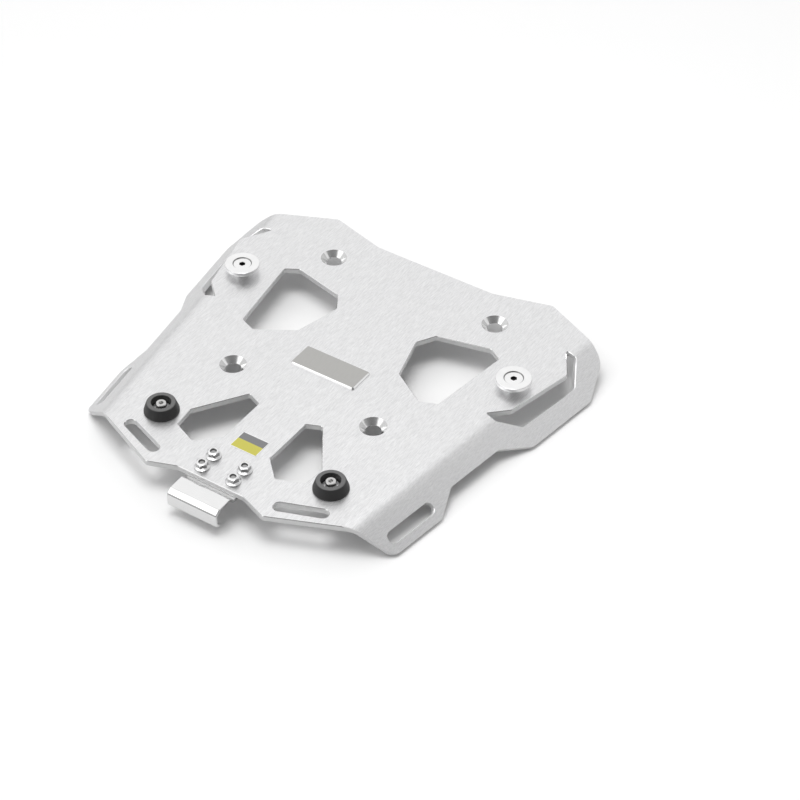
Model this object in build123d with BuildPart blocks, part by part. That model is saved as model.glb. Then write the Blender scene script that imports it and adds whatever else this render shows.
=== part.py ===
"""Motorcycle luggage rack: a folded sheet that carries a top case on two studs and a latch hook.

Millimetres. X is across the rack, Y runs from the latch end to the wide end, Z is up.
The origin is on the ground, in the middle of the rack's length and width.
"""
from build123d import *
from math import cos, radians, sin, sqrt, tan
import os

os.makedirs("parts", exist_ok=True)

# The sheet and its two folds, which spread apart towards the wide end
SHEET = 4.0
FLARE = radians(8.2)
FOLD_ANGLE = radians(39)
FOLD_RADIUS = 11.5
FOLD_OUT = 104.2
LIP_REACH = 28.75
LIP_OUT = FOLD_OUT + LIP_REACH
HALF_LENGTH = 142.3
HOOK_OUT = 20.2

# The rear tips' edge, and the front edge that the latch hook stands out from
REAR = HALF_LENGTH
FRONT = HOOK_OUT - HALF_LENGTH

# The cut edges are broken when the sheet is deburred
EDGE_BREAK = 0.35

# The outer surface's arc, how far the lip hangs down, and the height that gives the top
OUTER_RADIUS = FOLD_RADIUS + SHEET
ARC_OUT = OUTER_RADIUS * sin(FOLD_ANGLE)
ARC_DROP = OUTER_RADIUS * (1 - cos(FOLD_ANGLE))
LIP_DROP = ARC_DROP + (LIP_OUT - FOLD_OUT - ARC_OUT) * tan(FOLD_ANGLE)
TOP = LIP_DROP + SHEET * cos(FOLD_ANGLE) - EDGE_BREAK * sin(FOLD_ANGLE)
UNDER = TOP - SHEET


def wing(out, along):
    """A plan point beside the right fold: out from the middle, and along the fold's line."""
    return (
        out * cos(FLARE) + along * sin(FLARE),
        along * cos(FLARE) - out * sin(FLARE),
    )


# Corners of the blank's outline, right half. At its ends: from the middle, and from the rear or front edge
REAR_NOTCH = (46.3, 11.2)
REAR_TIP = (87.3, 0.0)
FRONT_TIP = (44.8, -7.4)
FRONT_NOTCH = (24.85, 0.0)

# Along the lip: in from its edge, and from the rear or front edge along the fold
LIP_REAR = [(12.55, 4.7), (0.0, 31.4), (0.0, 90.2), (9.45, 113.7)]
LIP_FRONT = [(9.45, 105.2), (0.0, 86.2), (0.0, 42.7)]
OUTLINE = [
    (0, REAR - REAR_NOTCH[1]),
    (REAR_NOTCH[0], REAR - REAR_NOTCH[1]),
    (REAR_TIP[0], REAR - REAR_TIP[1]),
    *[wing(LIP_OUT - inset, REAR - back) for inset, back in LIP_REAR],
    *[wing(LIP_OUT - inset, FRONT + ahead) for inset, ahead in LIP_FRONT],
    (FRONT_TIP[0], FRONT + FRONT_TIP[1]),
    (FRONT_NOTCH[0], FRONT + FRONT_NOTCH[1]),
    (0, FRONT + FRONT_NOTCH[1]),
]
OUTLINE_ROUND = [0, 6, 4, 12, 6, 8, 10, 10, 6, 8, 4, 5, 0]

# The hand hold, cut round a tab that stays flat: out from the fold's start or in from the lip's edge,
# and ahead of the rear edge. Its inner ends reach past the fold's start, so that the tab is free of the fold
HOLD_FRONT = [(-1.8, 102.2), (7.0, 102.2)]
HOLD_OUTER = [(11.05, 87.7), (10.15, 36.3)]
HOLD_REAR = [(6.2, 19.8), (-2.2, 19.8)]
TAB_CORNERS = [(13.4, 38.5), (8.7, 89.0)]
HOLD_FRONT_ENDS = [wing(FOLD_OUT + reach, REAR - back) for reach, back in HOLD_FRONT]
HOLD_REAR_ENDS = [wing(FOLD_OUT + reach, REAR - back) for reach, back in HOLD_REAR]
TAB_ENDS = [wing(FOLD_OUT + reach, REAR - back) for reach, back in TAB_CORNERS]
HAND_HOLD = [
    *HOLD_FRONT_ENDS,
    *[wing(LIP_OUT - inset, REAR - back) for inset, back in HOLD_OUTER],
    *HOLD_REAR_ENDS,
    *TAB_ENDS,
]
HAND_HOLD_ROUND = [0.8, 3, 4, 6, 2.4, 0.9, 2, 2]
TAB = [HOLD_REAR_ENDS[-1], *TAB_ENDS, HOLD_FRONT_ENDS[0]]
TAB_ROUND = [0, 2, 2, 0]

# The windows in the flat middle: from the middle, and from the rear or front edge
WINDOW_CORNER = 2.0
REAR_WINDOW = [
    (86.15, 67.0),
    (76.8, 61.55),
    (39.5, 70.2),
    (31.8, 82.85),
    (40.3, 115.4),
    (65.5, 130.9),
    (77.25, 126.2),
]
FRONT_WINDOW = [(18.1, 75.3), (28.5, 79.6), (51.1, 46.3), (49.5, 31.1), (31.9, 23.8), (17.9, 37.6)]
WINDOWS = [
    [(x, REAR - back) for x, back in REAR_WINDOW],
    [(x, FRONT + ahead) for x, ahead in FRONT_WINDOW],
]

# Strap slots: one beside the front edge, one in the lip's front tab
STRAP_SLOT_WIDTH = 8.0
FRONT_SLOT_LENGTH = 35.1
FRONT_SLOT_PLACE = (61.2, FRONT + 9.95)
FRONT_SLOT_TURN = 20.5
LIP_SLOT_LENGTH = 40.4
LIP_SLOT_OUT = LIP_OUT - 7.85
LIP_SLOT_ALONG = FRONT + 65.7

# Countersunk holes for the M8 screws that hold the rack to the motorcycle
FIX_HEAD = 18.0
FIX_LAND = 0.3
FIX_HOLE = FIX_HEAD - 2 * (SHEET - FIX_LAND)
REAR_FIX = (65.0, REAR - 38.0)
FRONT_FIX = (55.0, FRONT + 97.3)

# Studs that the case slides under, each with an M6 countersunk screw and a lock nut
STUD_INSET = 5.39
STUD_PLACE = wing(FOLD_OUT - STUD_INSET, REAR - 70.07)
STUD_HEAD = 23.7
STUD_HEAD_THICK = 2.6
STUD_NECK = 13.0
STUD_NECK_ROUND = 0.5
STUD_ROUND = 0.4
STUD_HEIGHT = 7.05
STUD_SCREW = 6.0
STUD_SCREW_HEAD = 12.0
STUD_SCREW_SINK = 0.6
STUD_SOCKET = 4.0
STUD_SOCKET_DEPTH = 2.2
STUD_NUT_ACROSS = 10.0
STUD_NUT_FACE = 8.8
STUD_NUT_HEIGHT = 6.0
STUD_NUT_COLLAR = 1.8
LOCK_NUT_TURN = 30.0

# Rubber bumpers, each held by a socket cap screw on a washer
BUMPER_PLACE = (65.5, FRONT + 35.6)
BUMPER_BASE = 23.0
BUMPER_TOP = 18.8
BUMPER_HEIGHT = 7.3
BUMPER_FOOT = 1.2
BUMPER_ROUND = 1.1
BUMPER_BORE = 12.6
BUMPER_FLOOR = 1.6
BUMPER_WASHER = 11.0
BUMPER_WASHER_THICK = 0.9
CAP_HEAD = 7.0
CAP_HEAD_HEIGHT = 4.0
CAP_HEAD_CHAMFER = 0.4
CAP_SOCKET = 3.0

# M4 screws and bolts: the bumpers' lock nuts, and the hook's bolts with flanged nuts
M4 = 4.0
M4_ACROSS = 7.0
M4_LOCK_FACE = 6.2
M4_LOCK_HEIGHT = 5.0
M4_LOCK_COLLAR = 1.5
FLANGE_NUT_HEIGHT = 4.7
FLANGE_NUT_RIM = 10.0
FLANGE_NUT_RIM_THICK = 0.8
FLANGE_NUT_RISE = 1.0
BUTTON_HEAD = 7.6
BUTTON_HEAD_HEIGHT = 2.4
BUTTON_FACE = 4.2
BUTTON_SOCKET = 2.5
BUTTON_SOCKET_DEPTH = 1.2
CAP_SOCKET_DEPTH = 2.0
BOLT_END_SINK = 0.9
NUT_CROWN = 0.25
NUT_MOUTH = 0.25
NUT_TURN = 17.0
NUT_SLOPE = radians(30)
COLLAR_ROUND = 0.5
THREAD_CHAMFER = 0.5

# Name plate and label: width, depth, thickness
NAME_PLATE = (49.6, 20.0, 1.3)
NAME_PLATE_Y = 6.7
NAME_PLATE_CORNER = 1.6
NAME_PLATE_BEVEL = 0.7
LABEL = (20.0, 14.9, 0.2)
LABEL_Y = FRONT + 40.7
LABEL_CORNER = 1.5

# Latch hook: a strip bent down from under the sheet's front edge, below a flat shim
HOOK_SHEET = 2.0
HOOK_WIDTH = 37.4
HOOK_BACK = FRONT + 26.1
HOOK_BACK_CORNER = 3.0
HOOK_STEP_GAP = 0.8
HOOK_RISE_RUN = 4.1
HOOK_TOP_DROP = 1.5
HOOK_TOP_FALL = 0.4
HOOK_SLOPE_RUN = 3.9
HOOK_SLOPE_FALL = 2.9
HOOK_LIP = 10.2
HOOK_RETURN = 3.6
HOOK_BEND = 1.0
HOOK_EDGE_BREAK = 0.3
SHIM = 1.5
SHIM_SIDE = 0.6
HOOK_BOLT_SIDE = 6.7
HOOK_BOLT_REAR = 19.4
HOOK_BOLT_FRONT = 7.5

# The hook's four bolts, from its sides and from the front edge
HOOK_BOLTS = [
    (sign * (HOOK_WIDTH / 2 - HOOK_BOLT_SIDE), FRONT + back)
    for back in (HOOK_BOLT_REAR, HOOK_BOLT_FRONT)
    for sign in (-1, 1)
]

# Clearances
HOLE_CLEARANCE = 0.25
THREAD_CLEARANCE = 0.05
SEAT_CLEARANCE = 0.05
THREAD_OUT = 1.0
SIDES = (("left", -1), ("right", 1))


def upright(x, y, z):
    """A plane that stands across the rack at a point, for the profile of a turned piece."""
    return Plane(origin=(x, y, z), x_dir=(1, 0, 0), z_dir=(0, -1, 0))


def upward(x, y):
    """The axis of a turned piece."""
    return Axis((x, y, 0), (0, 0, 1))


# A former whose top surface is the folded sheet's top, trimmed to the blank's outline
fold_section = Plane(
    origin=(0, 0, TOP),
    x_dir=(cos(FLARE), -sin(FLARE), 0),
    z_dir=(-sin(FLARE), -cos(FLARE), 0),
)
arc_end = (FOLD_OUT + ARC_OUT, -ARC_DROP)
lip_end = (LIP_OUT + SHEET, -LIP_DROP - SHEET * tan(FOLD_ANGLE))
former_foot = -2 * LIP_DROP
with BuildPart() as former:
    with BuildSketch(fold_section):
        with BuildLine():
            flat = Line((-HALF_LENGTH, 0), (FOLD_OUT, 0))
            bend = TangentArc(flat @ 1, arc_end, tangent=flat % 1)
            lip = Line(arc_end, lip_end)
            Polyline(lip_end, (lip_end[0], former_foot), (-HALF_LENGTH, former_foot), flat @ 0)
        make_face()
    extrude(amount=2 * HALF_LENGTH, both=True)
    with BuildSketch(Plane.XY.offset(TOP)):
        with BuildLine():
            FilletPolyline(*OUTLINE, radius=OUTLINE_ROUND, close=True)
        make_face()
        with BuildLine():
            FilletPolyline(*HAND_HOLD, radius=HAND_HOLD_ROUND, close=True)
        make_face(mode=Mode.SUBTRACT)
    extrude(amount=former_foot, mode=Mode.INTERSECT)

# The lip's own plane, with its origin in the middle of the strap slot
slot_x, slot_y = wing(LIP_SLOT_OUT, LIP_SLOT_ALONG)
slot_z = TOP - ARC_DROP - (LIP_SLOT_OUT - FOLD_OUT - ARC_OUT) * tan(FOLD_ANGLE)
lip_plane = Plane(
    origin=(slot_x, slot_y, slot_z),
    x_dir=(sin(FLARE), cos(FLARE), 0),
    z_dir=(sin(FOLD_ANGLE) * cos(FLARE), -sin(FOLD_ANGLE) * sin(FLARE), cos(FOLD_ANGLE)),
)

# The sheet's strips join on straight lines along the fold, at these distances out
fold_direction = Vector(sin(FLARE), cos(FLARE), 0)
SEAMS = (FOLD_OUT, arc_end[0], arc_end[0] - SHEET * sin(FOLD_ANGLE))
ON_LINE = 0.001


def is_cut(edge):
    """Whether an edge of a strip was cut, and isn't where it joins the next strip or the other half."""
    middle = edge.center()
    out = middle.X * cos(FLARE) - middle.Y * sin(FLARE)
    along_fold = edge.geom_type == GeomType.LINE and edge.tangent_at(0).cross(fold_direction).length < ON_LINE
    joins = along_fold and any(abs(out - seam) < ON_LINE for seam in SEAMS)
    return not joins and abs(middle.X) > ON_LINE


def strip(*tops):
    """One strip of the sheet: top faces that join in a plane given its thickness, with cut edges broken."""
    with BuildPart() as piece:
        for top in tops:
            thicken(top, amount=-SHEET)
        skins = piece.faces().sort_by(SortBy.AREA)[-2:]
        rims = [edge for face in skins for edge in face.edges() if is_cut(edge)]
        chamfer(rims, EDGE_BREAK)
    return piece.part


# The tab's own face, flat, in place of the two faces that the former bends down there
with BuildSketch(Plane.XY.offset(TOP)) as tab:
    with BuildLine():
        FilletPolyline(*TAB, radius=TAB_ROUND, close=True)
    make_face()
tops = former.faces().filter_by(lambda f: f.normal_at().Z > 0)
tops = tops.sort_by_distance(Vertex(*TAB_ENDS[0], TOP))[2:].sort_by(SortBy.AREA)

# Each strip is broken before they are joined, so that cut edges stay square to the folded sheet
strips = [strip(face) for face in tops[:-1]]
strips.append(strip(tops[-1], tab.sketch.face()))
with BuildPart() as rack_plate:
    add(strips)
    for window in WINDOWS:
        with BuildSketch(Plane.XY.offset(TOP)):
            with BuildLine():
                FilletPolyline(*window, radius=WINDOW_CORNER, close=True)
            make_face()
        extrude(amount=-SHEET, mode=Mode.SUBTRACT)
        loops = rack_plate.edges(Select.LAST).group_by(Axis.Z)
        chamfer(loops[0] + loops[-1], EDGE_BREAK)
    with BuildSketch(Plane.XY.offset(TOP)):
        with Locations(FRONT_SLOT_PLACE):
            SlotOverall(FRONT_SLOT_LENGTH, STRAP_SLOT_WIDTH, rotation=FRONT_SLOT_TURN)
    extrude(amount=-SHEET, mode=Mode.SUBTRACT)
    loops = rack_plate.edges(Select.LAST).group_by(Axis.Z)
    chamfer(loops[0] + loops[-1], EDGE_BREAK)
    with BuildSketch(lip_plane):
        SlotOverall(LIP_SLOT_LENGTH, STRAP_SLOT_WIDTH)
    extrude(amount=-SHEET, mode=Mode.SUBTRACT)
    loops = rack_plate.edges(Select.LAST).group_by(Axis(lip_plane.origin, lip_plane.z_dir))
    chamfer(loops[0] + loops[-1], EDGE_BREAK)
    for place in (REAR_FIX, FRONT_FIX):
        with Locations((*place, TOP)):
            CounterSinkHole(FIX_HOLE / 2, FIX_HEAD / 2, SHEET, counter_sink_angle=90)
    for place, shank in ((STUD_PLACE, STUD_SCREW), (BUMPER_PLACE, M4)):
        with Locations((*place, TOP)):
            Hole(shank / 2 + HOLE_CLEARANCE, SHEET)
    mirror(about=Plane.YZ)
    for place in HOOK_BOLTS:
        with Locations((*place, TOP)):
            Hole(M4 / 2 + HOLE_CLEARANCE, SHEET)
rack_plate.part.label = "rack_plate"
export_step(rack_plate.part, "parts/rack_plate.step")


def lock_nut(x, y, across, face, height, collar, thread):
    """A lock nut under the sheet: a chamfered hexagon with a round collar that grips the thread."""
    hexagon = height - collar
    corner = across / sqrt(3)
    chamfer_fall = (corner - face / 2) * tan(NUT_SLOPE)
    with BuildPart() as nut:
        with BuildSketch(Plane((x, y, UNDER))):
            RegularPolygon(across / 2, 6, major_radius=False, rotation=LOCK_NUT_TURN)
        extrude(amount=-hexagon)
        with BuildSketch(upright(x, y, UNDER)):
            with BuildLine():
                Polyline(
                    (0, 0),
                    (face / 2, 0),
                    (corner, -chamfer_fall),
                    (corner, -hexagon + chamfer_fall),
                    (face / 2, -hexagon),
                    (0, -hexagon),
                    close=True,
                )
            make_face()
        revolve(axis=upward(x, y), mode=Mode.INTERSECT)
        with BuildSketch(upright(x, y, UNDER)):
            with BuildLine():
                FilletPolyline(
                    (0, -hexagon),
                    (face / 2, -hexagon),
                    (face / 2, -height),
                    (0, -height),
                    radius=[0, COLLAR_ROUND],
                    close=False,
                )
                Line((0, -height), (0, -hexagon))
            make_face()
        revolve(axis=upward(x, y))
        with Locations((x, y, UNDER)):
            Hole(thread / 2 + THREAD_CLEARANCE, height)
    return nut.part


# Name plate: a rounded rectangle with a bevel round its face
with BuildPart() as name_plate:
    with BuildSketch(Plane((0, NAME_PLATE_Y, TOP))):
        RectangleRounded(NAME_PLATE[0], NAME_PLATE[1], NAME_PLATE_CORNER)
    extrude(amount=NAME_PLATE[2])
    chamfer(name_plate.faces().sort_by(Axis.Z)[-1].edges(), NAME_PLATE_BEVEL)
name_plate.part.label = "name_plate"
export_step(name_plate.part, "parts/name_plate.step")

# Label: a thin sticker with rounded corners
with BuildPart() as label:
    with BuildSketch(Plane((0, LABEL_Y, TOP))):
        RectangleRounded(LABEL[0], LABEL[1], LABEL_CORNER)
    extrude(amount=LABEL[2])
label.part.label = "label"
export_step(label.part, "parts/label.step")

# Case studs, each with its countersunk screw and lock nut
screw_seat = STUD_SCREW_HEAD / 2 + STUD_SCREW_SINK
for side, sign in SIDES:
    x, y = sign * STUD_PLACE[0], STUD_PLACE[1]
    with BuildPart() as stud:
        with BuildSketch(upright(x, y, TOP)):
            with BuildLine():
                FilletPolyline(
                    (0, 0),
                    (STUD_NECK / 2, 0),
                    (STUD_NECK / 2, STUD_HEIGHT - STUD_HEAD_THICK),
                    (STUD_HEAD / 2, STUD_HEIGHT - STUD_HEAD_THICK),
                    (STUD_HEAD / 2, STUD_HEIGHT),
                    (0, STUD_HEIGHT),
                    radius=[0, 0, STUD_NECK_ROUND, STUD_ROUND, STUD_ROUND, 0],
                    close=True,
                )
            make_face()
        revolve(axis=upward(x, y))
        with Locations((x, y, TOP + STUD_HEIGHT)):
            CounterSinkHole(
                STUD_SCREW / 2 + HOLE_CLEARANCE, screw_seat, STUD_HEIGHT, counter_sink_angle=90
            )
    stud.part.label = f"case_stud_{side}"
    export_step(stud.part, f"parts/case_stud_{side}.step")

    head_top = TOP + STUD_HEIGHT - STUD_SCREW_SINK
    screw_end = UNDER - STUD_NUT_HEIGHT - THREAD_OUT
    cone = (STUD_SCREW_HEAD - STUD_SCREW) / 2
    with BuildPart() as stud_screw:
        with BuildSketch(upright(x, y, head_top)):
            with BuildLine():
                Polyline(
                    (0, 0),
                    (STUD_SCREW_HEAD / 2 - SEAT_CLEARANCE, 0),
                    (STUD_SCREW_HEAD / 2 - SEAT_CLEARANCE, -SEAT_CLEARANCE),
                    (STUD_SCREW / 2, -cone),
                    (STUD_SCREW / 2, screw_end - head_top),
                    (0, screw_end - head_top),
                    close=True,
                )
            make_face()
        revolve(axis=upward(x, y))
        chamfer(stud_screw.edges().sort_by(Axis.Z)[0], THREAD_CHAMFER)
        with BuildSketch(Plane((x, y, head_top))):
            RegularPolygon(STUD_SOCKET / 2, 6, major_radius=False)
        extrude(amount=-STUD_SOCKET_DEPTH, mode=Mode.SUBTRACT)
    stud_screw.part.label = f"stud_screw_{side}"
    export_step(stud_screw.part, f"parts/stud_screw_{side}.step")

    stud_nut = lock_nut(
        x, y, STUD_NUT_ACROSS, STUD_NUT_FACE, STUD_NUT_HEIGHT, STUD_NUT_COLLAR, STUD_SCREW
    )
    stud_nut.label = f"stud_nut_{side}"
    export_step(stud_nut, f"parts/stud_nut_{side}.step")

# Rubber bumpers, each with its washer, cap screw and lock nut
for side, sign in SIDES:
    x, y = sign * BUMPER_PLACE[0], BUMPER_PLACE[1]
    with BuildPart() as bumper:
        with BuildSketch(upright(x, y, TOP)):
            with BuildLine():
                FilletPolyline(
                    (M4 / 2 + HOLE_CLEARANCE, 0),
                    (BUMPER_BASE / 2, 0),
                    (BUMPER_BASE / 2, BUMPER_FOOT),
                    (BUMPER_TOP / 2, BUMPER_HEIGHT),
                    (BUMPER_BORE / 2, BUMPER_HEIGHT),
                    (BUMPER_BORE / 2, BUMPER_FLOOR),
                    (M4 / 2 + HOLE_CLEARANCE, BUMPER_FLOOR),
                    radius=[0, 0, BUMPER_ROUND, BUMPER_ROUND, BUMPER_ROUND / 2, 0, 0],
                    close=True,
                )
            make_face()
        revolve(axis=upward(x, y))
    bumper.part.label = f"rubber_bumper_{side}"
    export_step(bumper.part, f"parts/rubber_bumper_{side}.step")

    washer_foot = TOP + BUMPER_FLOOR
    with BuildPart() as washer:
        with BuildSketch(Plane((x, y, washer_foot))):
            Circle(BUMPER_WASHER / 2)
            Circle(M4 / 2 + HOLE_CLEARANCE, mode=Mode.SUBTRACT)
        extrude(amount=BUMPER_WASHER_THICK)
    washer.part.label = f"bumper_washer_{side}"
    export_step(washer.part, f"parts/bumper_washer_{side}.step")

    head_foot = washer_foot + BUMPER_WASHER_THICK
    screw_end = UNDER - M4_LOCK_HEIGHT - THREAD_OUT
    with BuildPart() as cap_screw:
        with BuildSketch(Plane((x, y, head_foot))):
            Circle(CAP_HEAD / 2)
        extrude(amount=CAP_HEAD_HEIGHT)
        chamfer(cap_screw.edges().sort_by(Axis.Z)[-1], CAP_HEAD_CHAMFER)
        with BuildSketch(Plane((x, y, screw_end))):
            Circle(M4 / 2)
        extrude(amount=head_foot - screw_end)
        chamfer(cap_screw.edges().sort_by(Axis.Z)[0], THREAD_CHAMFER)
        with BuildSketch(Plane((x, y, head_foot + CAP_HEAD_HEIGHT))):
            RegularPolygon(CAP_SOCKET / 2, 6, major_radius=False)
        extrude(amount=-CAP_SOCKET_DEPTH, mode=Mode.SUBTRACT)
    cap_screw.part.label = f"bumper_screw_{side}"
    export_step(cap_screw.part, f"parts/bumper_screw_{side}.step")

    bumper_nut = lock_nut(x, y, M4_ACROSS, M4_LOCK_FACE, M4_LOCK_HEIGHT, M4_LOCK_COLLAR, M4)
    bumper_nut.label = f"bumper_nut_{side}"
    export_step(bumper_nut, f"parts/bumper_nut_{side}.step")

# Latch hook: its outer surface from the tongue under the sheet to the lip's return
hook_front = FRONT - HOOK_OUT
hook_seat = -SHEET - SHIM
step_y = FRONT - HOOK_STEP_GAP
crest_y = step_y - HOOK_RISE_RUN
slope_y = hook_front + HOOK_SLOPE_RUN
crest_end = -HOOK_TOP_DROP - HOOK_TOP_FALL
lip_top = crest_end - HOOK_SLOPE_FALL
lip_foot = lip_top - HOOK_LIP
hook_line = [
    (HOOK_BACK, hook_seat),
    (step_y, hook_seat),
    (crest_y, -HOOK_TOP_DROP),
    (slope_y, crest_end),
    (hook_front, lip_top),
    (hook_front, lip_foot),
    (hook_front + HOOK_RETURN, lip_foot),
]
hook_round = HOOK_BEND + HOOK_SHEET
with BuildPart() as latch_hook:
    with BuildSketch(Plane(origin=(0, 0, TOP), x_dir=(0, 1, 0), z_dir=(1, 0, 0))):
        with BuildLine():
            FilletPolyline(*hook_line, radius=[HOOK_BEND] + 4 * [hook_round])
            offset(amount=HOOK_SHEET, side=Side.LEFT)
        make_face()
    extrude(amount=HOOK_WIDTH / 2, both=True)
    back = latch_hook.edges().filter_by(Axis.Z).group_by(Axis.Y)[-1]
    fillet(back, HOOK_BACK_CORNER)
    sides = latch_hook.faces().filter_by(Axis.X).edges()
    behind = latch_hook.edges().filter_by_position(Axis.Y, HOOK_BACK - 2 * HOOK_BACK_CORNER, HOOK_BACK)
    chamfer(sides + behind - behind.filter_by(Axis.Z), HOOK_EDGE_BREAK)
    for place in HOOK_BOLTS:
        with Locations((*place, TOP)):
            Hole(M4 / 2 + HOLE_CLEARANCE, 2 * SHEET + SHIM + HOOK_SHEET)
latch_hook.part.label = "latch_hook"
export_step(latch_hook.part, "parts/latch_hook.step")

# Shim: a flat spacer between the sheet and the hook's tongue, flush with the sheet's front edge
shim_length = HOOK_BACK - FRONT
with BuildPart() as hook_shim:
    with BuildSketch(Plane((0, FRONT + shim_length / 2, UNDER))):
        Rectangle(HOOK_WIDTH + 2 * SHIM_SIDE, shim_length)
    extrude(amount=-SHIM)
    back = hook_shim.edges().filter_by(Axis.Z).group_by(Axis.Y)[-1]
    fillet(back, HOOK_BACK_CORNER)
    for place in HOOK_BOLTS:
        with Locations((*place, UNDER)):
            Hole(M4 / 2 + HOLE_CLEARANCE, SHIM)
hook_shim.part.label = "hook_shim"
export_step(hook_shim.part, "parts/hook_shim.step")

# The hook's bolts, heads below, and their flanged nuts on top of the sheet
bolt_seat = TOP + hook_seat - HOOK_SHEET
nut_corner = M4_ACROSS / sqrt(3)
for number, (x, y) in enumerate(HOOK_BOLTS, start=1):
    with BuildPart() as bolt:
        with BuildSketch(upright(x, y, bolt_seat)):
            with BuildLine():
                seat = Line((0, 0), (BUTTON_HEAD / 2, 0))
                face = Line((0, -BUTTON_HEAD_HEIGHT), (BUTTON_FACE / 2, -BUTTON_HEAD_HEIGHT))
                TangentArc(face @ 1, seat @ 1, tangent=face % 1)
                Line(face @ 0, seat @ 0)
            make_face()
        revolve(axis=upward(x, y))
        with BuildSketch(Plane((x, y, bolt_seat))):
            Circle(M4 / 2)
        extrude(amount=TOP + FLANGE_NUT_HEIGHT - BOLT_END_SINK - bolt_seat)
        chamfer(bolt.edges().sort_by(Axis.Z)[-1], THREAD_CHAMFER)
        with BuildSketch(Plane((x, y, bolt_seat - BUTTON_HEAD_HEIGHT))):
            RegularPolygon(BUTTON_SOCKET / 2, 6, major_radius=False)
        extrude(amount=BUTTON_SOCKET_DEPTH, mode=Mode.SUBTRACT)
    bolt.part.label = f"hook_bolt_{number}"
    export_step(bolt.part, f"parts/hook_bolt_{number}.step")

    with BuildPart() as flange_nut:
        with BuildSketch(Plane((x, y, TOP))):
            RegularPolygon(M4_ACROSS / 2, 6, major_radius=False, rotation=NUT_TURN * number)
        extrude(amount=FLANGE_NUT_HEIGHT)
        nut_chamfer = (nut_corner - M4_ACROSS / 2) * tan(NUT_SLOPE) + NUT_CROWN
        with BuildSketch(upright(x, y, TOP)):
            with BuildLine():
                Polyline(
                    (0, 0),
                    (nut_corner, 0),
                    (nut_corner, FLANGE_NUT_HEIGHT - nut_chamfer),
                    (nut_corner - nut_chamfer / tan(NUT_SLOPE), FLANGE_NUT_HEIGHT),
                    (0, FLANGE_NUT_HEIGHT),
                    close=True,
                )
            make_face()
        revolve(axis=upward(x, y), mode=Mode.INTERSECT)
        with BuildSketch(upright(x, y, TOP)):
            with BuildLine():
                Polyline(
                    (0, 0),
                    (FLANGE_NUT_RIM / 2, 0),
                    (FLANGE_NUT_RIM / 2, FLANGE_NUT_RIM_THICK),
                    (M4_ACROSS / 2, FLANGE_NUT_RIM_THICK + FLANGE_NUT_RISE),
                    (0, FLANGE_NUT_RIM_THICK + FLANGE_NUT_RISE),
                    close=True,
                )
            make_face()
        revolve(axis=upward(x, y))
        with Locations((x, y, TOP + FLANGE_NUT_HEIGHT)):
            CounterSinkHole(
                M4 / 2 + THREAD_CLEARANCE, M4 / 2 + NUT_MOUTH, FLANGE_NUT_HEIGHT, counter_sink_angle=90
            )
    flange_nut.part.label = f"hook_nut_{number}"
    export_step(flange_nut.part, f"parts/hook_nut_{number}.step")
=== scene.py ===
# %% [markdown]
# # A folded aluminium luggage rack
#
# This lesson dresses a finished model of a top case rack: one sheet of brushed aluminium with two folded
# sides, two turned studs, two rubber bumpers, a polished latch hook, a name plate, a label and the small
# fasteners. The shapes come ready made, so the work here is the camera, the surfaces, the floor and the
# light.

from math import cos, radians, sin, tau

import bpy
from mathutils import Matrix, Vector


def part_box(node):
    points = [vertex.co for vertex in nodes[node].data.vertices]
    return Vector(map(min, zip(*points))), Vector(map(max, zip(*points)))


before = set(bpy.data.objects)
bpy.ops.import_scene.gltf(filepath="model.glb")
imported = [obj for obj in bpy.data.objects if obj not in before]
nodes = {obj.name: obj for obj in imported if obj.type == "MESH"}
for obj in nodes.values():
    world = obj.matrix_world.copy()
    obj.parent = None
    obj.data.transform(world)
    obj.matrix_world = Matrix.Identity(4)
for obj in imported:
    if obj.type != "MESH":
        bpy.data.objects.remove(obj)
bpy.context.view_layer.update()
scene = bpy.context.scene
MM = 0.001

# %% [markdown]
# ## The camera
#
# A product photograph of something flat is taken with a long lens from above, so that parallel edges stay
# nearly parallel. The angles below were found by matching the rack's holes and corners. The camera is placed
# by looking back from a target point along a direction given by two angles, which is easier to adjust than
# three coordinates and three rotations.

# %% Place the camera
AZIMUTH = radians(33.607)
ELEVATION = radians(41.08)
DISTANCE = 1.5065
TARGET = Vector((55.0, 5.58, 21.725)) * MM
LENS = 106.19
SENSOR = 36.0
FAR_CLIP = 20.0

towards_camera = Vector((sin(AZIMUTH) * cos(ELEVATION), -cos(AZIMUTH) * cos(ELEVATION), sin(ELEVATION)))
camera_data = bpy.data.cameras.new("camera")
camera_data.lens = LENS
camera_data.sensor_width = SENSOR
camera_data.clip_end = FAR_CLIP
camera = bpy.data.objects.new("camera", camera_data)
camera.location = TARGET + DISTANCE * towards_camera
camera.rotation_euler = towards_camera.to_track_quat("Z", "Y").to_euler()
scene.collection.objects.link(camera)
scene.camera = camera
print("camera at", [round(c, 3) for c in camera.location])

# %% [markdown]
# ## Small helpers for materials
#
# Every surface here is made of nodes. A few short functions keep that readable: one adds a node and fills its
# sockets, one starts a new material, and one starts a shader group with named inputs and outputs. A socket is
# filled with a plain value, or linked when the value is itself a socket.

# %% Helpers that build node trees
def fill(tree, socket, value):
    """Link a socket to another socket, or set it to a plain value."""
    if isinstance(value, bpy.types.NodeSocket):
        tree.links.new(value, socket)
    else:
        socket.default_value = value


def add(tree, kind, settings=None, **inputs):
    """Add a node: settings are its own options, inputs are its sockets by name, with _ for a blank."""
    node = tree.nodes.new("ShaderNode" + kind)
    for name, value in (settings or {}).items():
        setattr(node, name, value)
    for name, value in inputs.items():
        fill(tree, node.inputs[name.replace("_", " ")], value)
    return node


def math(tree, operation, *values):
    """A Math node's result."""
    node = tree.nodes.new("ShaderNodeMath")
    node.operation = operation
    for socket, value in zip(node.inputs, values):
        fill(tree, socket, value)
    return node.outputs[0]


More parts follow.
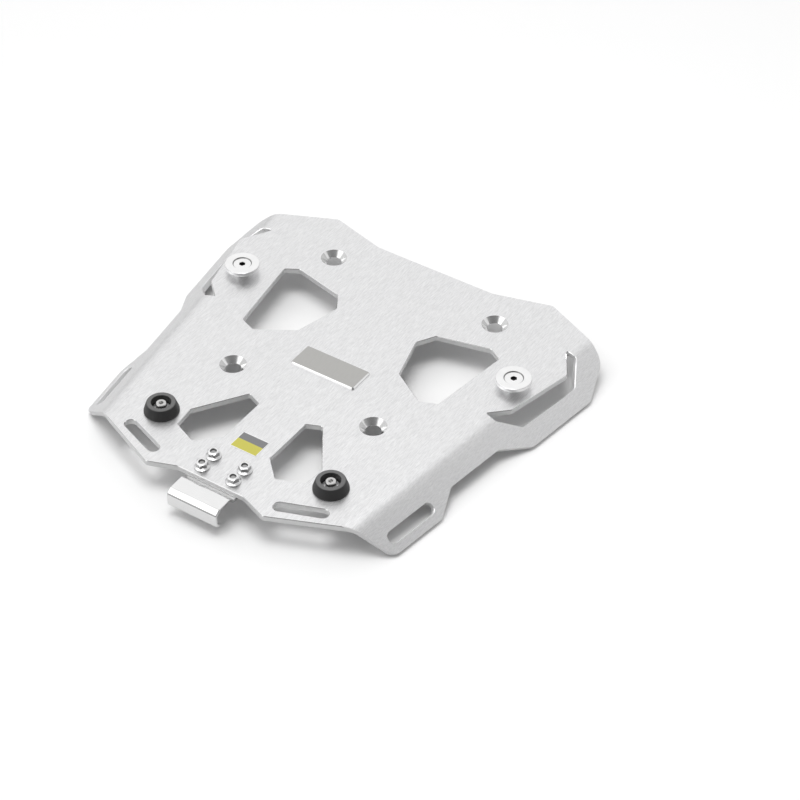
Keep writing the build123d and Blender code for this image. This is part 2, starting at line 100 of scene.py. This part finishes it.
def mix_colour(tree, factor, first, second):
    """Blend two colours."""
    node = tree.nodes.new("ShaderNodeMix")
    node.data_type = "RGBA"
    fill(tree, node.inputs["Factor"], factor)
    fill(tree, node.inputs[6], first)
    fill(tree, node.inputs[7], second)
    return node.outputs[2]


def remap(tree, value, low, high, to_low, to_high):
    """Stretch a range of values to another range, and hold it there."""
    node = add(tree, "MapRange", Value=value, From_Min=low, From_Max=high, To_Min=to_low, To_Max=to_high)
    return node.outputs["Result"]


def grey(level):
    """A neutral colour."""
    return (level, level, level, 1.0)


def tinted(tree, level, tone):
    """A colour whose three parts are scaled by a value that changes over the surface."""
    colour = add(tree, "CombineColor")
    for channel, part in zip(("Red", "Green", "Blue"), tone):
        fill(tree, colour.inputs[channel], math(tree, "MULTIPLY", level, part))
    return colour.outputs[0]


def own_place(tree):
    """The place on the object itself, in metres."""
    return add(tree, "TexCoord").outputs["Object"]


def facing_up(tree):
    """How far the surface faces up: 1 on a level top, 0 on an upright wall."""
    return add(tree, "SeparateXYZ", Vector=add(tree, "NewGeometry").outputs["Normal"]).outputs["Z"]


def upward_mask(tree, low, high):
    """A mask of what faces up: 0 where that is at most low, and 1 from high."""
    return remap(tree, facing_up(tree), low, high, 0.0, 1.0)


def new_material(name):
    """An empty node material with its surface shader: returns the material, its tree and the shader."""
    material = bpy.data.materials.new(name)
    material.use_nodes = True
    tree = material.node_tree
    tree.nodes.clear()
    shader = tree.nodes.new("ShaderNodeBsdfPrincipled")
    output = tree.nodes.new("ShaderNodeOutputMaterial")
    tree.links.new(shader.outputs["BSDF"], output.inputs["Surface"])
    return material, tree, shader


def new_group(name, inputs, outputs):
    """A shader group: inputs are (name, socket type, value), outputs are (name, socket type)."""
    tree = bpy.data.node_groups.new(name, "ShaderNodeTree")
    for socket_name, kind, value in inputs:
        socket = tree.interface.new_socket(name=socket_name, in_out="INPUT", socket_type="NodeSocket" + kind)
        socket.default_value = value
    for socket_name, kind in outputs:
        tree.interface.new_socket(name=socket_name, in_out="OUTPUT", socket_type="NodeSocket" + kind)
    return tree, tree.nodes.new("NodeGroupInput").outputs, tree.nodes.new("NodeGroupOutput").inputs


def use_group(tree, group, **inputs):
    """Place a shader group in a material, and return its outputs."""
    node = tree.nodes.new("ShaderNodeGroup")
    node.node_tree = group
    for name, value in inputs.items():
        fill(tree, node.inputs[name.replace("_", " ")], value)
    return node.outputs


def dress(material, *names):
    """Give a material to nodes of the model."""
    for name in names:
        for material_slot in nodes[name].material_slots:
            material_slot.material = material


print("helpers ready")

# %% [markdown]
# ## Brushed grain, a shared effect
#
# Brushing leaves long fine scratches that all run the same way. A noise pattern that is stretched to many
# times its width looks just like that. The group below mixes a fine and a coarser layer of it, and hands out
# a height for bump and a value around one that varies the shade. The coordinates are the object's own, in
# metres, so a scratch keeps its real width on every piece.

# %% Build the brushed grain group
GRAIN_LAYERS = (1.0, 0.6)


def build_grain():
    tree, given, result = new_group(
        "brushed_grain",
        [
            ("Width", "Float", 0.5 * MM),
            ("Length", "Float", 14.0 * MM),
            ("Contrast", "Float", 0.1),
            ("Turn", "Float", 0.0),
        ],
        [("Height", "Float"), ("Shade", "Float")],
    )
    turn = add(tree, "VectorRotate", {"rotation_type": "Z_AXIS"}, Vector=own_place(tree), Angle=given["Turn"])
    across = math(tree, "DIVIDE", 1.0, given["Width"])
    along = math(tree, "DIVIDE", 1.0, given["Length"])
    layers = []
    for share in GRAIN_LAYERS:
        stretch = add(
            tree,
            "CombineXYZ",
            X=math(tree, "MULTIPLY", across, share),
            Y=math(tree, "MULTIPLY", along, share),
            Z=math(tree, "MULTIPLY", across, share),
        )
        scaled = add(tree, "Mapping", Vector=turn.outputs[0], Scale=stretch.outputs[0])
        noise = add(tree, "TexNoise", Vector=scaled.outputs[0], Scale=1.0, Detail=2.0, Roughness=0.6)
        layers.append(noise.outputs["Fac"])
    both = math(tree, "MULTIPLY", math(tree, "ADD", *layers), 0.5)
    swing = math(tree, "MULTIPLY", math(tree, "SUBTRACT", both, 0.5), given["Contrast"])
    tree.links.new(both, result["Height"])
    tree.links.new(math(tree, "ADD", swing, 1.0), result["Shade"])
    return tree


grain_group = build_grain()
print("group", grain_group.name)

# %% [markdown]
# ## Handling, a shared effect
#
# No real surface is evenly clean. Soft patches where hands and cloths have been are a little duller or
# shinier. One slow, rounded noise gives a small change around zero for them, which each material adds to its
# gloss or its shade, with its own strength.

# %% Build the handling group
CLEAN_BELOW, SOILED_ABOVE = 0.3, 0.7


def build_handling():
    tree, given, result = new_group(
        "handling",
        [("Size", "Float", 30.0 * MM), ("Amount", "Float", 0.1)],
        [("Change", "Float")],
    )
    scale = math(tree, "DIVIDE", 1.0, given["Size"])
    noise = add(tree, "TexNoise", Vector=own_place(tree), Scale=scale, Detail=3.0, Roughness=0.55)
    mask = remap(tree, noise.outputs["Fac"], CLEAN_BELOW, SOILED_ABOVE, 0.0, 1.0)
    swing = math(tree, "SUBTRACT", mask, 0.5)
    tree.links.new(math(tree, "MULTIPLY", swing, given["Amount"]), result["Change"])
    return tree


handling_group = build_handling()
print("group", handling_group.name)

# %% [markdown]
# ## The brushed sheet
#
# The rack is one laser cut sheet. Its faces are brushed along its length, before it is folded, so the grain
# also runs along the folded sides. Bare aluminium is a metal with a fairly dull gloss. The grain goes into
# the colour, the roughness and a very low bump. What was cut is told by the way it points: walls point
# sideways, are rougher and scatter light more than they mirror it, and the turned countersinks and broken
# edges slope at 45 degrees and are shinier.

# %% Make the brushed aluminium
SLOPE_45 = cos(radians(45))
SLOPE_NEAR, SLOPE_FAR = 0.03, 0.05
WALL_BELOW, FACE_ABOVE = 0.66, 0.69

SHEET_TONE = (0.83, 0.83, 0.835)
SHEET_ROUGHNESS = 0.36
SHEET_BUMP = 0.12
WALL_TONE = 0.85
WALL_METALLIC = 0.3
WALL_ROUGHER = 0.16
SLOPE_TONE = 0.86
SLOPE_SMOOTHER = 0.23


def cut_masks(tree):
    """Masks of the cut walls and of the surfaces that slope at 45 degrees."""
    normal = add(tree, "NewGeometry").outputs["True Normal"]
    up = math(tree, "ABSOLUTE", add(tree, "SeparateXYZ", Vector=normal).outputs["Z"])
    wall = remap(tree, up, WALL_BELOW, FACE_ABOVE, 1.0, 0.0)
    off_slope = math(tree, "ABSOLUTE", math(tree, "SUBTRACT", up, SLOPE_45))
    return wall, remap(tree, off_slope, SLOPE_NEAR, SLOPE_FAR, 1.0, 0.0)


def brushed_aluminium():
    material, tree, shader = new_material("brushed_aluminium")
    grain = use_group(tree, grain_group, Width=0.3 * MM, Length=3.2 * MM, Contrast=0.75)
    handling = use_group(tree, handling_group, Size=45.0 * MM, Amount=0.05)
    wall, slope = cut_masks(tree)
    faces = mix_colour(tree, wall, tinted(tree, grain["Shade"], SHEET_TONE), grey(WALL_TONE))
    fill(tree, shader.inputs["Base Color"], mix_colour(tree, slope, faces, grey(SLOPE_TONE)))
    fill(tree, shader.inputs["Metallic"], remap(tree, wall, 0.0, 1.0, 1.0, WALL_METALLIC))
    rough = math(tree, "MULTIPLY", grain["Shade"], SHEET_ROUGHNESS)
    rough = math(tree, "ADD", rough, handling["Change"])
    rough = math(tree, "ADD", rough, math(tree, "MULTIPLY", wall, WALL_ROUGHER))
    rough = math(tree, "SUBTRACT", rough, math(tree, "MULTIPLY", slope, SLOPE_SMOOTHER))
    fill(tree, shader.inputs["Roughness"], rough)
    strength = math(tree, "MULTIPLY", math(tree, "SUBTRACT", 1.0, slope), SHEET_BUMP)
    bump = add(tree, "Bump", Height=grain["Height"], Strength=strength, Distance=0.02 * MM)
    fill(tree, shader.inputs["Normal"], bump.outputs["Normal"])
    return material


dress(brushed_aluminium(), "rack_plate")

# %% [markdown]
# ## Turned and rolled metals
#
# The studs are turned from bright aluminium, the hook is bent from polished steel with a faint grain along
# it, and the screws, nuts and washers are plated or stainless steel. They differ mostly in tone and gloss, so
# one function makes them all. Small things are told apart by their shadows, which are finer than a pixel
# here, so the function can also paint that shade into the colour: deep in a screw, on upright sides and in
# countersinks.

# %% Make the plain metals
HOOK_GRAIN = {"Width": 0.35 * MM, "Length": 9.0 * MM, "Contrast": 0.12}
# The nearly black grey of the painted shade in a screw's socket.
RECESS_SHADE = 0.12
RECESS_SOFT = 0.1 * MM
SIDE_BELOW, TOP_ABOVE = 0.2, 0.9


def metal(
    name, tone, roughness, variation, patch, grain_turn=None, recess=None, side_shade=None, sink_shade=None
):
    """A metal with patches of handling, and where given a grain and painted shade in recesses, on sides and
    in countersinks.

    A grain has its turn in radians, a recess the height that it lies below, and the rest the grey of that
    painted shade.
    """
    material, tree, shader = new_material(name)
    handling = use_group(tree, handling_group, Size=patch, Amount=variation)
    shader.inputs["Metallic"].default_value = 1.0
    level = math(tree, "ADD", handling["Change"], 1.0)
    rough = math(tree, "ADD", handling["Change"], roughness)
    if grain_turn is not None:
        grain = use_group(tree, grain_group, Turn=grain_turn, **HOOK_GRAIN)
        level = math(tree, "MULTIPLY", level, grain["Shade"])
        bump = add(tree, "Bump", Height=grain["Height"], Strength=0.05, Distance=0.01 * MM)
        fill(tree, shader.inputs["Normal"], bump.outputs["Normal"])
    base = tinted(tree, level, tone)
    if side_shade is not None:
        # Painted shade: the upright sides get a darker grey than the top.
        base = mix_colour(tree, upward_mask(tree, SIDE_BELOW, TOP_ABOVE), grey(side_shade), base)
    if sink_shade is not None:
        # Painted shade: what slopes at 45 degrees, a countersink, gets a darker grey.
        _, slope = cut_masks(tree)
        base = mix_colour(tree, slope, base, grey(sink_shade))
    if recess is not None:
        # Painted shade: what lies below the recess height, the socket of a screw, gets a nearly black grey.
        height = add(tree, "SeparateXYZ", Vector=own_place(tree)).outputs["Z"]
        sunk = remap(tree, height, recess - RECESS_SOFT, recess, 1.0, 0.0)
        base = mix_colour(tree, sunk, base, grey(RECESS_SHADE))
    fill(tree, shader.inputs["Base Color"], base)
    fill(tree, shader.inputs["Roughness"], rough)
    return material


SIDES = ("left", "right")
HOOK_PLACES = (1, 2, 3, 4)
SOCKET_DEPTH = 0.3 * MM
BRIGHT = (0.97, 0.97, 0.97)

_, screw_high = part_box("stud_screw_right")
# The studs get painted shade in their countersinks.
bright_aluminium = metal("bright_aluminium", BRIGHT, 0.3, 0.04, 6.0 * MM, sink_shade=0.3)
# The stud screws get painted shade in their sockets.
bright_screw = metal("bright_screw", BRIGHT, 0.3, 0.04, 6.0 * MM, recess=screw_high.z - SOCKET_DEPTH)
polished_steel = metal("polished_steel", (0.94, 0.94, 0.94), 0.2, 0.03, 12.0 * MM, grain_turn=tau / 4)
stainless = metal("stainless_steel", (0.66, 0.655, 0.65), 0.22, 0.08, 2.0 * MM)
# The zinc parts get painted shade on their upright sides.
zinc = metal("zinc_plate", (0.92, 0.92, 0.925), 0.3, 0.05, 2.0 * MM, side_shade=0.45)
bolt_steel = metal("bolt_steel", (0.42, 0.42, 0.42), 0.35, 0.08, 2.0 * MM)

dress(polished_steel, "latch_hook")
dress(zinc, "hook_shim", *[f"hook_nut_{n}" for n in HOOK_PLACES])
dress(bolt_steel, *[f"hook_bolt_{n}" for n in HOOK_PLACES])
for side in SIDES:
    dress(bright_aluminium, f"case_stud_{side}")
    dress(bright_screw, f"stud_screw_{side}")
    dress(stainless, f"bumper_screw_{side}")
    dress(zinc, f"stud_nut_{side}", f"bumper_nut_{side}", f"bumper_washer_{side}")
metals = (bright_aluminium, bright_screw, polished_steel, stainless, zinc, bolt_steel)
print("metals", [made.name for made in metals])

# %% [markdown]
# ## Rubber bumpers
#
# Moulded rubber is nearly black, dull, and has the fine pitted skin of its mould. What faces up is painted
# lighter, a painted sheen from the lamp above.

# %% Make the rubber
# The second grey is the lighter colour of a painted sheen on what faces up.
RUBBER_TONE, SHEEN_TONE = 0.03, 0.24
SHEEN_SHARE = 0.5
SHEEN_ABOVE, SHEEN_FULL_ABOVE = 0.6, 1.0
PIT_SIZE = 0.25 * MM


def bumper_rubber():
    material, tree, shader = new_material("bumper_rubber")
    handling = use_group(tree, handling_group, Size=3.0 * MM, Amount=0.12)
    # Painted sheen: what faces up is mixed towards a lighter grey.
    painted_sheen = math(tree, "MULTIPLY", upward_mask(tree, SHEEN_ABOVE, SHEEN_FULL_ABOVE), SHEEN_SHARE)
    fill(tree, shader.inputs["Base Color"], mix_colour(tree, painted_sheen, grey(RUBBER_TONE), grey(SHEEN_TONE)))
    fill(tree, shader.inputs["Roughness"], math(tree, "ADD", handling["Change"], 0.5))
    pits = add(tree, "TexNoise", Vector=own_place(tree), Scale=1.0 / PIT_SIZE, Detail=2.0)
    bump = add(tree, "Bump", Height=pits.outputs["Fac"], Strength=0.25, Distance=0.05 * MM)
    fill(tree, shader.inputs["Normal"], bump.outputs["Normal"])
    return material


dress(bumper_rubber(), *[f"rubber_bumper_{side}" for side in SIDES])

# %% [markdown]
# ## The name plate
#
# A small pressed plate with a satin face and bright, polished bevels. The face is told from the bevels by
# the way it points: only the face looks straight up.

# %% Make the name plate's metal
SATIN_TONE = (0.50, 0.495, 0.48)
BEVEL_TONE = 0.88
SATIN_ROUGHNESS, BEVEL_ROUGHNESS = 0.34, 0.12
BEVEL_BELOW, SATIN_ABOVE = 0.9, 0.98


def plate_metal():
    material, tree, shader = new_material("name_plate_metal")
    grain = use_group(tree, grain_group, Width=0.3 * MM, Length=5.0 * MM, Contrast=0.2)
    face = upward_mask(tree, BEVEL_BELOW, SATIN_ABOVE)
    satin = tinted(tree, grain["Shade"], SATIN_TONE)
    fill(tree, shader.inputs["Base Color"], mix_colour(tree, face, grey(BEVEL_TONE), satin))
    fill(tree, shader.inputs["Roughness"], remap(tree, face, 0.0, 1.0, BEVEL_ROUGHNESS, SATIN_ROUGHNESS))
    shader.inputs["Metallic"].default_value = 1.0
    bump = add(tree, "Bump", Height=grain["Height"], Strength=0.1, Distance=0.01 * MM)
    fill(tree, shader.inputs["Normal"], bump.outputs["Normal"])
    return material


dress(plate_metal(), "name_plate")

# %% [markdown]
# ## The label
#
# A printed film with a pale border and two plain fields, a grey one and a yellow one. The fields are drawn
# from the label's own box, so they would follow it if it moved.

# %% Make the label's film
LABEL_BORDER = 0.4 * MM
PRINT_SOFT = 0.05 * MM
YELLOW_SHARE = 0.57
YELLOW_FIELD = (0.57, 0.53, 0.085, 1.0)
GREY_FIELD = (0.2, 0.2, 0.205, 1.0)
BORDER_TONE = 0.95


def label_film():
    material, tree, shader = new_material("label_film")
    low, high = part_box("label")
    field_line = low.y + YELLOW_SHARE * (high.y - low.y)
    place = add(tree, "SeparateXYZ", Vector=own_place(tree)).outputs
    inside = None
    for axis, first, last in (("X", low.x, high.x), ("Y", low.y, high.y)):
        for edge, sign in ((first + LABEL_BORDER, 1.0), (last - LABEL_BORDER, -1.0)):
            reach = math(tree, "MULTIPLY", math(tree, "SUBTRACT", place[axis], edge), sign)
            within = remap(tree, reach, 0.0, PRINT_SOFT, 0.0, 1.0)
            inside = within if inside is None else math(tree, "MULTIPLY", inside, within)
    upper = remap(tree, place["Y"], field_line, field_line + PRINT_SOFT, 0.0, 1.0)
    fields = mix_colour(tree, upper, YELLOW_FIELD, GREY_FIELD)
    colour = mix_colour(tree, inside, grey(BORDER_TONE), fields)
    handling = use_group(tree, handling_group, Size=4.0 * MM, Amount=0.1)
    fill(tree, shader.inputs["Base Color"], colour)
    fill(tree, shader.inputs["Roughness"], math(tree, "ADD", handling["Change"], 0.42))
    return material


dress(label_film(), "label")

# %% [markdown]
# ## Floor
#
# The rack lies on a seamless white table. The floor is matt and pale, and only catches the soft shadow. A
# little plain light is added for the camera alone, so that the open floor reads as white paper while the
# shadow stays and the metal isn't lit by it twice.

# %% Make the floor
FLOOR_HALF = 4.0
FLOOR_TONE = 0.74
FLOOR_SEEN_TONE = 0.98
FLOOR_LIFT = 0.02


def make_floor():
    mesh = bpy.data.meshes.new("floor")
    turns = ((-1, -1), (1, -1), (1, 1), (-1, 1))
    corners = [(across * FLOOR_HALF, along * FLOOR_HALF, 0) for across, along in turns]
    mesh.from_pydata(corners, [], [(0, 1, 2, 3)])
    floor = bpy.data.objects.new("floor", mesh)
    scene.collection.objects.link(floor)
    material, tree, shader = new_material("table_top")
    shader.inputs["Roughness"].default_value = 0.9
    shader.inputs["Specular IOR Level"].default_value = 0.1
    shader.inputs["Emission Color"].default_value = grey(1.0)
    seen = add(tree, "LightPath").outputs["Is Camera Ray"]
    fill(tree, shader.inputs["Base Color"], mix_colour(tree, seen, grey(FLOOR_TONE), grey(FLOOR_SEEN_TONE)))
    fill(tree, shader.inputs["Emission Strength"], math(tree, "MULTIPLY", seen, FLOOR_LIFT))
    mesh.materials.append(material)
    return floor


floor = make_floor()
print("floor", floor.name)

# %% [markdown]
# ## Light
#
# The floor seen through the windows tells where the light is: it is dark close under the far edges and white
# over the near half, so one large soft box hangs almost straight above. The bright metal tells the rest,
# because it mirrors what stands around it. The flat top is bright, the folded sides are less so, and the
# wall of each screw hole that faces the camera is dark. So the room is white behind the rack, dim behind the
# camera and darker towards the horizon, where the folded sides look. A small weak box at the right lifts the
# lip on that side, and a soft bright patch high in front is what the slope of the hook mirrors.
#
# The room is only seen in reflections. The camera itself sees plain white where the floor ends.

# %% Place the lamps
def area_lamp(name, azimuth, elevation, distance, size, power):
    """A square soft box that looks at the middle of the rack."""
    data = bpy.data.lights.new(name, "AREA")
    data.shape = "SQUARE"
    data.size = size
    data.energy = power
    lamp = bpy.data.objects.new(name, data)
    out = Vector((sin(azimuth) * cos(elevation), -cos(azimuth) * cos(elevation), sin(elevation)))
    lamp.location = out * distance
    lamp.rotation_euler = out.to_track_quat("Z", "Y").to_euler()
    scene.collection.objects.link(lamp)
    return lamp


area_lamp("top_box", AZIMUTH - radians(45), radians(85.5), distance=1.7, size=0.9, power=12.85)
area_lamp("side_box", radians(126.7), radians(33.9), distance=1.13, size=0.4, power=0.2)

# %% Set the surroundings
BRIGHT_SIDE = 0.95
DIM_SIDE = 0.15
REACH = 0.75
BRIGHT_TURN = radians(-12)
HORIZON_SHARE = 0.6
HORIZON_TOP = 0.45
FILL_STRENGTH = 1.1
FILL_DIRECTION = (-0.42, -0.45, 0.79)
FILL_EDGE, FILL_CORE = cos(radians(26)), cos(radians(14))


def towards(tree, place, direction):
    """How far a direction of the room agrees with a given one."""
    node = add(tree, "VectorMath", {"operation": "DOT_PRODUCT"})
    for socket, value in zip(node.inputs, (place, direction)):
        fill(tree, socket, value)
    return node.outputs["Value"]


def make_world():
    world = bpy.data.worlds.new("studio")
    world.use_nodes = True
    tree = world.node_tree
    tree.nodes.clear()
    place = add(tree, "TexCoord").outputs["Generated"]
    bright = AZIMUTH - BRIGHT_TURN
    away = towards(tree, place, (-sin(bright), cos(bright), 0.0))
    sweep = remap(tree, away, -REACH, REACH, DIM_SIDE, BRIGHT_SIDE)
    height = add(tree, "SeparateXYZ", Vector=place).outputs["Z"]
    low = remap(tree, height, 0.0, HORIZON_TOP, HORIZON_SHARE, 1.0)
    patch = remap(tree, towards(tree, place, FILL_DIRECTION), FILL_EDGE, FILL_CORE, 0.0, FILL_STRENGTH)
    level = math(tree, "ADD", math(tree, "MULTIPLY", sweep, low), patch)
    rays = add(tree, "LightPath").outputs
    seen = math(tree, "MAXIMUM", rays["Is Camera Ray"], rays["Is Transmission Ray"])
    strength = math(tree, "ADD", math(tree, "MULTIPLY", math(tree, "SUBTRACT", 1.0, seen), level), seen)
    background = add(tree, "Background", Color=grey(1.0), Strength=strength)
    output = tree.nodes.new("ShaderNodeOutputWorld")
    tree.links.new(background.outputs[0], output.inputs["Surface"])
    scene.world = world


make_world()
scene.view_settings.view_transform = "Standard"
